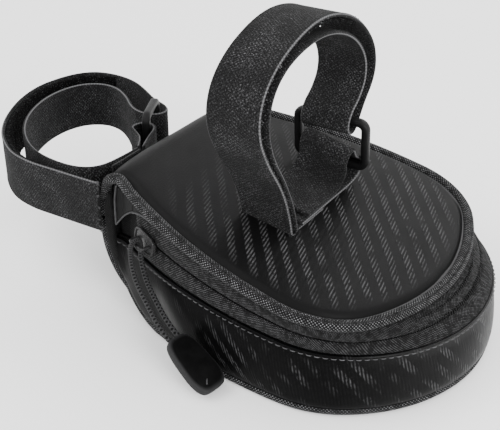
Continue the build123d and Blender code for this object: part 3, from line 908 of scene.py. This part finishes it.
class BAG_OT_zipper(bpy.types.Operator):
    """Zipper tapes on the body and the lid, and their coils of nylon."""

    bl_idname = "bag.zipper"
    bl_label = "Zipper"

    def tape(self, name, low, high, shares, body, front, node, swell):
        """One side's tape."""
        bow = -0.15 + swell * np.sin(np.linspace(0, math.pi, len(shares)))
        grid = np.array([wall_row(low, high, share, out, front) for share, out in zip(shares, bow)])
        grid = grid - grid_normals(grid) * unevenness(grid, 9.0, 4.0)[:, :, None] * 0.16
        height = np.linalg.norm(grid[-1, 0] - grid[0, 0])
        run, span = np.meshgrid(lengths(grid[2]), shares * height)
        made = cut_panel(name, grid, 0.8, "tape_weave", body, run, span)
        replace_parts(made, node)

    def coil(self, name, low, high, share, body, front, node):
        """One side's row of nylon loops."""
        line = even(wall_row(low, high, share, -2.0, front), 0.16)
        side, up = frames_along(line, (0, 0, 1))
        turn = lengths(line) / 1.25 * 2 * math.pi
        helix = line + side * np.cos(turn)[:, None] * 0.65 + up * np.sin(turn)[:, None] * 0.95
        made = swept(name, helix, oval(0.24, 0.24, 4), "coil_nylon", body)
        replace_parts(made, node)

    def execute(self, context):
        lower = np.linspace(0.0, 0.955, 6)
        upper = np.linspace(0.03, 0.97, 7)
        self.tape("lower_tape_cloth", SEAM, ZIP, lower, "bag", ZIP_FRONT_Y, "lower_zip_tape", 0.35)
        self.tape("upper_tape_cloth", ZIP, PIPING, upper, "lid", ZIP_FRONT_Y - 0.4, "upper_zip_tape", 0.30)
        self.coil("lower_coil_loops", SEAM, ZIP, 0.74, "bag", ZIP_FRONT_Y - 2.1, "lower_zip_coil")
        self.coil("upper_coil_loops", ZIP, PIPING, 0.24, "lid", ZIP_FRONT_Y - 2.4, "upper_zip_coil")
        dress("zip_end_stops", "slider_metal")
        return {"FINISHED"}


def slider_place(x, y, z):
    """Place in the slider's own directions: outward, rearward and up."""
    start = SLIDER_ORIGIN + SLIDER_OUT * x
    return start + np.multiply.outer(y, SLIDER_REAR) + np.multiply.outer(z, SLIDER_UP)


class BAG_OT_slider(bpy.types.Operator):
    """Cast zipper slider: outer plate, inner plate and the bridge that holds the pull."""

    bl_idname = "bag.slider"
    bl_label = "Slider"

    def execute(self, context):
        metal = "slider_metal"
        long, tall = oval(6.0, 4.5, 40, 0.75).T
        tall = tall * (1 - 0.16 * np.exp(-(((long + 0.5) / 3.0) ** 2)) - 0.22 * np.clip(long / 6.0, 0, 1))
        for label, depths, size in (
            ("slider_front_plate", ((0.4, 0.90), (0.6, 0.99), (1.1, 1.0), (1.5, 0.93), (1.72, 0.80)), 1.0),
            ("slider_back_plate", ((-5.25, 0.86), (-5.0, 0.98), (-4.4, 1.0), (-4.1, 0.9)), 0.66),
        ):
            rings = [slider_place(x, long * grow, tall * grow * size) for x, grow in depths]
            plate = loft(label, rings, metal, "slider")
            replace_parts(plate, "slider_body")
        length, width = oval(1.1, 0.55, 40)[::3].T
        neck = [slider_place(x, length - 4.8, width) for x in (-4.3, -2.0, 0.5)]
        post = loft("slider_neck", neck, metal, "slider")
        guide = [(1.2, -3.4), (3.6, -3.5), (5.35, -3.3), (5.2, 0.0), (5.35, 3.3), (3.6, 3.5), (1.2, 3.4)]
        arch = even(bent_line([slider_place(x, y, 0) for x, y in guide]), 0.4)
        bridge = swept("slider_arch", arch, oval(0.8, 0.72), metal, "slider", up=SLIDER_UP)
        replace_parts(bridge, "slider_bridge")
        rim = [(6.0, 0), (5.4, 3.4), (0.5, 4.1), (-4.6, 4.6), (-6.2, 2.6)]
        rim += [(y, -z) for y, z in rim[:0:-1]]
        ring = [slider_place(1.5, y * 0.93, z * 0.90) for y, z in rim]
        joint = (ring[-1] + ring[0]) / 2
        ring = even(bent_line([joint, *ring, joint]), 0.5)[:-1]
        bead = swept("slider_rim", ring, oval(0.55, 0.5, 8), metal, "slider", close=True)
        return {"FINISHED"}


# Route of the pull's cord, from the tab through the bridge and back, in millimetres
CORD_ROUTE = (
    (-57.67, 19.11, 14.18), (-56.71, 24.21, 17.18), (-53.77, 31.41, 22.44), (-50.54, 38.09, 27.32),
    (-48.53, 41.28, 35.28), (-48.53, 40.46, 41.78), (-52.39, 41.83, 41.95), (-52.39, 42.65, 35.45),
    (-53.92, 39.92, 27.55), (-57.58, 32.04, 22.42), (-60.64, 24.95, 17.18), (-61.60, 19.85, 14.18),
)
TAB_TOP = np.array([-59.64, 19.48, 14.18])
TAB_ALONG = np.array([-0.1603, -0.8516, -0.5009])
TAB_ACROSS = np.array([-0.9827, 0.1850, 0.0])
TAB_LENGTH, TAB_WIDTH = 23.0, 13.0


class BAG_OT_pull(bpy.types.Operator):
    """Doubled cord through the bridge and the moulded tab on its ends."""

    bl_idname = "bag.pull"
    bl_label = "Zipper pull"

    def execute(self, context):
        width = context.scene.bag_sizes.cord_width
        tab = self.tab()
        curve = bpy.data.curves.new("pull_cord_braid", "CURVE")
        curve.dimensions = "3D"
        curve.resolution_u = 10
        curve.bevel_depth = width / 2
        curve.bevel_resolution = 3
        spline = curve.splines.new("NURBS")
        spline.points.add(len(CORD_ROUTE) - 1)
        for point, place in zip(spline.points, CORD_ROUTE):
            point.co = (*(value * MM for value in place), 1.0)
        spline.order_u = 3
        spline.use_endpoint_u = True
        curve.materials.append(material("cord_braid"))
        cord = bpy.data.objects.new("pull_cord_braid", curve)
        context.scene.collection.objects.link(cord)
        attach(cord, "pull")
        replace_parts(cord, "pull_cord")
        return {"FINISHED"}

    def tab(self):
        """Drop-shaped tab with a bevelled edge and a small slit near its tip."""
        normal = np.cross(TAB_ALONG, TAB_ACROSS)
        side = math.copysign(1.0, normal[2])
        half = TAB_LENGTH / 2
        angle = np.linspace(0, 2 * math.pi, 48, endpoint=False)
        along = half * np.sign(np.cos(angle)) * np.abs(np.cos(angle)) ** 0.52
        wide = np.interp(along + half, (0, 3, 9, 16, 23), (0.80, 0.86, 0.95, 1.0, 0.98))
        across = TAB_WIDTH / 2 * np.sign(np.sin(angle)) * np.abs(np.sin(angle)) ** 0.5 * wide
        levels = ((-2.2, 0.84), (-2.1, 0.90), (-1.7, 0.975), (-1.0, 1.0), (0.9, 0.985), (1.5, 0.93))
        levels += ((2.0, 0.84), (2.2, 0.78))
        flat = np.outer(along, TAB_ALONG) + np.outer(across, TAB_ACROSS)
        rings = [TAB_TOP + TAB_ALONG * half + normal * lift + flat * grow for lift, grow in levels]
        # the middle rings' rim values paint the tab's bevel lighter, a painted highlight
        tab = loft("pull_tab_moulding", rings, "tab_rubber", "pull", painted_bevel_light=(0, 0.3, 1, 1, 1, 0.5, 0, 0))
        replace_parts(tab, "pull_tab")
        start = TAB_TOP + TAB_ALONG * 18.6 + TAB_ACROSS * 1.2 + normal * side * 2.2
        slit = start + np.outer((0.0, 0.5, 1.0, 1.5), TAB_ALONG * 1.1 + TAB_ACROSS)
        mark = swept("pull_tab_slit", slit, oval(0.28, 0.22, 8), "bead", "pull", up=normal)
        return tab


# ---- straps and rings
RAIL_ROUTE = (
    (-20.5, -3), (-23, 8), (-29, 20), (-37, 32), (-41, 44), (-38, 55.5), (-28, 63.0),
    (-13, 66), (3, 64.5), (17.5, 58.5), (27.5, 48.5), (29, 39), (24, 32), (18, 28.5), (16, 24),
    (17.5, 21.3), (21, 21.2), (23.5, 25), (27.5, 30.5), (32.5, 35.5), (35, 42), (31.5, 52),
    (19, 63), (3, 69.5), (-14, 70.5), (-31, 65.5), (-42, 57), (-45, 45), (-39.5, 33),
    (-31, 21), (-25, 9), (-22.5, -3),
)
RAIL_TAIL = (
    (-17, 1.4), (-5, 1.7), (8, 1.4), (18, 1.0), (25, 3.0), (26, 9.5), (22, 13.2), (17, 16),
    (14.2, 20.5), (9.4, 20), (8.2, 15.5), (11, 10), (8, 5.0), (0, 4.4), (-14, 4.8),
)
RAIL_BASE = ((-19, 0.15), (-10, 0.3), (-2, 0.15))
RAIL_RING = ((19.4, 26.3), (20.8, 6.0))
SEAT_ROUTE = (
    (-11, 1.8), (-24, 2.2), (-33, 5), (-37, 12), (-37.5, 22), (-35, 34), (-28, 46),
    (-17, 57), (-2, 65), (14, 68), (27, 65), (33.5, 57), (33, 47), (27, 37), (20.5, 30),
    (17.6, 23.5), (18, 16.8), (23, 14.6), (27.2, 18), (30.5, 27), (37, 37), (42, 47),
    (44, 58), (41, 68.5), (31, 75.5), (15, 77.5), (-3, 73), (-24, 61), (-38, 44),
    (-41.5, 31), (-41.5, 17), (-41.2, 5), (-41.0, -3.4),
)
SEAT_TAIL = (
    (-8.5, 0.8), (0, 4.8), (8, 7.2), (11.2, 12), (9, 17), (3.4, 18.2), (0.6, 13.6),
    (-3.4, 7.8), (-10, 4.2),
)
SEAT_BASE = ((-28, 0.15), (-20, 0.2), (-11.5, 0.15))
SEAT_RING = ((5.1, 11.0), (24.1, 19.9))
RING_LENGTH, RING_ACROSS = 21.0, 31.0
RAIL_Y = 4.0
SEAT_Z = 44.0
SEAT_FRAME = (np.array([0, FRONT_Y, SEAT_Z]), np.array([1, 0, 0]), np.array([0, 1, 0]))
RAIL_FRAME = (np.array([0, RAIL_Y, top_z(RAIL_Y)]), np.array([1, 0, 0]), np.array([0, 0, 1]))
LID_FRAME = (
    np.array([0, RAIL_Y, top_z(RAIL_Y)]), np.array([1, 0, 0]), np.array([0, -TILT_SINE, TILT_COSINE])
)


def on_frame(route, place):
    """A flat route put in space by an origin and two directions."""
    origin, first, second = place
    return origin + np.outer(route[:, 0], first) + np.outer(route[:, 1], second)


def web(name, route, place, side, thickness, width, body, trim=None, finish="webbing"):
    """Strap along a flat route, its thickness to one side of the line, its width square to it."""
    line = even(bent_line(route), 0.8)
    flat_normal = square_to(line) * side
    line = line + flat_normal * thickness / 2
    across = np.cross(place[1], place[2])
    centre = on_frame(line, place)
    normal = np.outer(flat_normal[:, 0], place[1]) + np.outer(flat_normal[:, 1], place[2])
    share = np.array([-1, -0.985, -0.95, -0.8, -0.5, 0, 0.5, 0.8, 0.95, 0.985, 1])
    half = np.array([0.15, 0.38, 0.58, 0.5, 0.5, 0.5, 0.5, 0.5, 0.58, 0.38, 0.15]) * thickness
    offsets = np.concatenate([share, share[::-1]]) * width / 2
    depths = np.concatenate([half, -half[::-1]])
    wobble = unevenness(centre, 17.0, 2.0) * 0.35
    rings = centre[:, None] + normal[:, None] * depths[None, :, None]
    rings += across * (offsets[None, :, None] + wobble[:, None, None])
    if trim is not None:
        origin, up, clear = trim
        low = clear - (rings - origin) @ up
        rings = rings + np.maximum(low, 0)[:, :, None] * up / max(up[2], 0.2)
        keep = (low > 0).mean(axis=1) < 0.999
        rings, line = rings[keep], line[keep]
    count, around = rings.shape[:2]
    strap = add_mesh(
        name, rings.reshape(-1, 3), tube_faces(count, around), finish, body,
        run=np.repeat(lengths(line), around), span=np.tile(offsets, count), face=np.tile(depths > 0, count),
    )
    return strap, rings


def ring_piece(name, ends, place, body, shift=0.0):
    """Moulded rectangular ring seen end on between two places of a route's plane."""
    first, last = (on_frame(np.array([end], float), place)[0] for end in ends)
    across = np.cross(place[1], place[2])
    along = (last - first) / np.linalg.norm(last - first)
    normal = np.cross(along, across)
    middle = (first + last) / 2 + across * shift
    half_long, half_wide = RING_LENGTH / 2 - 1.6, RING_ACROSS / 2 - 1.5
    corners = [(0, half_wide), (half_long, half_wide), (half_long, -half_wide), (-half_long, -half_wide)]
    corners += [(-half_long, half_wide), (0, half_wide)]
    flat = rounded(corners, [2.6] * 4, 0.4)
    path = even(on_frame(flat, (middle, along, across)), 0.7)[:-1]
    ring = swept(name, path, oval(1.5, 1.6, 16, 0.6), "ring_plastic", body, up=normal, close=True)
    return ring


def hook_tape(name, route, place, side, width, body):
    """Pile of hooks on the inner face of a strap's outer layer."""
    tape, _ = web(name, route, place, side, 1.7, width - 1.6, body, finish="hook_pile")
    points = np.array([vertex.co for vertex in tape.data.vertices]) / MM
    points += 0.45 * np.column_stack([unevenness(points, 1.6, seed) for seed in (1.0, 2.0, 3.0)])
    tape.data.vertices.foreach_set("co", (points * MM).reshape(-1))


def fuzz(name, points, outward, body, count, length, seed):
    """Loose thread ends that stand up from a cut or worn edge."""
    chance = np.random.default_rng(seed)
    parts = []
    for _ in range(count):
        place = points[chance.integers(len(points))] + chance.normal(0, 0.25, 3)
        lean = outward + chance.normal(0, 0.45, 3)
        end = place + lean / np.linalg.norm(lean) * length * chance.uniform(0.4, 1.0)
        normal = np.cross(lean, (0.3, 0.5, 0.8))
        parts.append(stitch(place, end, normal / np.linalg.norm(normal), 0.22))
    joined(name, parts, "thread", body)


def loop_webbing(sizes, label, node, route, place, hooked, body, trim=None):
    """A strap's long loop and the hook tape between its layers; gives the rings of the loop."""
    thick, wide = sizes.strap_thickness / MM, sizes.strap_width / MM
    strap, rings = web(f"{label}_strap_web", route, place, 1, thick, wide, body, trim)
    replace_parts(strap, node)
    hook_tape(f"{label}_hook_tape", route[hooked], place, -1, wide, body)
    return rings


def sewn_webbing(sizes, label, node, tail, base, place, body, carrier, ring):
    """A strap's folded tail and its sewn base, with its ring."""
    thick, wide = sizes.strap_thickness / MM, sizes.strap_width / MM
    for part, route, rider in (("tail", tail, body), ("base", base, carrier)):
        piece, _ = web(f"{label}_strap_{part}_web", route, place, -1, thick, wide, rider)
        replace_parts(piece, f"{node}_strap_{part}")
    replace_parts(ring_piece(f"{label}_ring_moulding", *ring), f"{node}_ring")


def base_stitches(sizes, label, origin, ways, reach, body):
    """Stitches of a sewn base: a box with a cross in it."""
    first, second, normal = ways
    (low, high), half, pitch = reach, 8.0, sizes.stitch_pitch / MM
    corners = [(low, -half), (high, -half), (high, half), (low, half), (low, -half)]
    lines = [*zip(corners, corners[1:]), ((low, -half), (high, half)), ((low, half), (high, -half))]
    parts = []
    for ends in lines:
        start, end = (origin + first * x + second * y for x, y in ends)
        points = even(np.array([start, end]), 0.5)
        parts += seam(points, np.tile(normal, (len(points), 1)), pitch, pitch * 0.7, 0.4)
    joined(f"{label}_base_stitches", parts, "thread", body)


class BAG_OT_rail_strap(bpy.types.Operator):
    """Strap for the saddle rails: its loop, its folded tail, its sewn base and its ring."""

    bl_idname = "bag.rail_strap"
    bl_label = "Rail strap"

    def execute(self, context):
        sizes = context.scene.bag_sizes
        origin, aside, lid_up = LID_FRAME
        trim = (origin, lid_up, 0.35)
        rings = loop_webbing(
            sizes, "rail", "rail_strap", RAIL_ROUTE, RAIL_FRAME, np.s_[22:30], "rail_loop", trim
        )
        inner_edge = rings[len(rings) * 5 // 8:, 10]
        fuzz("rail_strap_cut_end", rings[-1][:11], np.array([-0.7, 0, 0.5]), "rail_loop", 90, 1.3, 5)
        fuzz("rail_strap_edge_fuzz", inner_edge, np.array([0.3, -0.6, -0.3]), "rail_loop", 70, 0.8, 6)
        ring = (RAIL_RING, RAIL_FRAME, "rail_loop", 0.8)
        sewn_webbing(sizes, "rail", "rail", RAIL_TAIL, RAIL_BASE, LID_FRAME, "rail_loop", "lid", ring)
        along = np.array([0, TILT_COSINE, TILT_SINE])
        base_stitches(sizes, "rail", origin + lid_up * 1.5, (aside, along, lid_up), (-17.5, -4), "lid")
        return {"FINISHED"}


class BAG_OT_seat_strap(bpy.types.Operator):
    """Strap for the seatpost: its loop, its short tail, its sewn base and its ring."""

    bl_idname = "bag.seat_strap"
    bl_label = "Seatpost strap"

    def execute(self, context):
        sizes = context.scene.bag_sizes
        origin, aside, ahead = SEAT_FRAME
        rings = loop_webbing(
            sizes, "seat", "seatpost_strap", SEAT_ROUTE, SEAT_FRAME, np.s_[22:31], "seatpost_loop"
        )
        fuzz("seat_strap_cut_end", rings[-1][:11], np.array([0, -0.8, 0.2]), "seatpost_loop", 60, 0.9, 7)
        ring = (SEAT_RING, SEAT_FRAME, "seatpost_loop", 0.0)
        sewn_webbing(
            sizes, "seat", "seatpost", SEAT_TAIL, SEAT_BASE, SEAT_FRAME, "seatpost_loop", "bag", ring
        )
        up = np.array([0, 0, 1])
        base_stitches(sizes, "seat", origin + ahead * 1.4, (aside, up, ahead), (-27, -12.5), "bag")
        return {"FINISHED"}


# ---- stage
CAMERA_PLACE = (-0.27919, -0.15103, 0.21928)
CAMERA_AIM = (0.02302, 0.04091, 0.01696)
LIGHTS = (
    ("key_light", (-0.55, 0.65, 0.85), 0.55, 5),
    ("rear_light", (-0.45, -0.80, 0.40), 0.35, 9),
    ("rim_light", (0.75, -0.15, 0.70), 0.6, 3),
)


class BAG_OT_stage(bpy.types.Operator):
    """Pale floor, soft lights and the camera."""

    bl_idname = "bag.stage"
    bl_label = "Stage"

    def place(self, name, data, place, aim):
        """Camera or light at a place, in metres, that looks at another."""
        made = bpy.data.objects.new(name, data)
        made.location = place
        made.rotation_mode = "QUATERNION"
        made.rotation_quaternion = (Vector(aim) - Vector(place)).to_track_quat("-Z", "Y")
        bpy.context.scene.collection.objects.link(made)
        return made

    def execute(self, context):
        sweep = [(-3.0, 0.0), (1.2, 0.0), (1.55, 0.04), (1.85, 0.18), (2.0, 0.45), (2.05, 0.8), (2.05, 2.6)]
        turn = math.radians(-57.58)
        away = np.array([-math.sin(turn), math.cos(turn), 0])
        aside = np.array([math.cos(turn), math.sin(turn), 0])
        points = [
            (away * depth + aside * width + (0, 0, height)) / MM
            for depth, height in sweep for width in (-3.5, 3.5)
        ]
        floor = add_mesh("floor", points, flipped(grid_faces(len(sweep), 2)), "floor_paper", None)
        lens = bpy.data.cameras.new("camera")
        lens.lens = 71.58
        lens.sensor_width = 36.0
        context.scene.camera = self.place("camera", lens, CAMERA_PLACE, CAMERA_AIM)
        for name, place, size, power in LIGHTS:
            light = bpy.data.lights.new(name, "AREA")
            light.size = size
            light.energy = power
            self.place(name, light, place, (0, 0.02, 0.04))
        world = bpy.data.worlds.new("studio")
        world.use_nodes = True
        background = world.node_tree.nodes["Background"].inputs
        background["Color"].default_value = (1.0, 1.0, 1.0, 1.0)
        background["Strength"].default_value = 2.2
        context.scene.world = world
        return {"FINISHED"}


STEPS = (
    BAG_OT_stage,
    BAG_OT_pull,
    BAG_OT_main_panel,
    BAG_OT_piping,
    BAG_OT_side_wall,
    BAG_OT_corner_panels,
    BAG_OT_base_panel,
    BAG_OT_zipper,
    BAG_OT_slider,
    BAG_OT_rail_strap,
    BAG_OT_seat_strap,
)


class BAG_PT_panel(bpy.types.Panel):
    """Steps and settings of the saddle bag."""

    bl_idname = "BAG_PT_panel"
    bl_label = "Saddle bag"
    bl_space_type = "VIEW_3D"
    bl_region_type = "UI"
    bl_category = "Saddle bag"

    def draw(self, context):
        for group in (context.scene.bag_sizes, context.scene.bag_colours):
            box = self.layout.box()
            for name in group.__annotations__:
                box.prop(group, name)
        for step in STEPS:
            self.layout.operator(step.bl_idname)


CLASSES = (BagSizes, BagColours, *STEPS, BAG_PT_panel)


def register():
    for cls in CLASSES:
        bpy.utils.register_class(cls)
    bpy.types.Scene.bag_sizes = bpy.props.PointerProperty(type=BagSizes)
    bpy.types.Scene.bag_colours = bpy.props.PointerProperty(type=BagColours)


def unregister():
    del bpy.types.Scene.bag_colours
    del bpy.types.Scene.bag_sizes
    for cls in reversed(CLASSES):
        bpy.utils.unregister_class(cls)


def main():
    register()
    for step in STEPS:
        group, operation = step.bl_idname.split(".")
        getattr(getattr(bpy.ops, group), operation)()


if __name__ == "__main__":
    main()
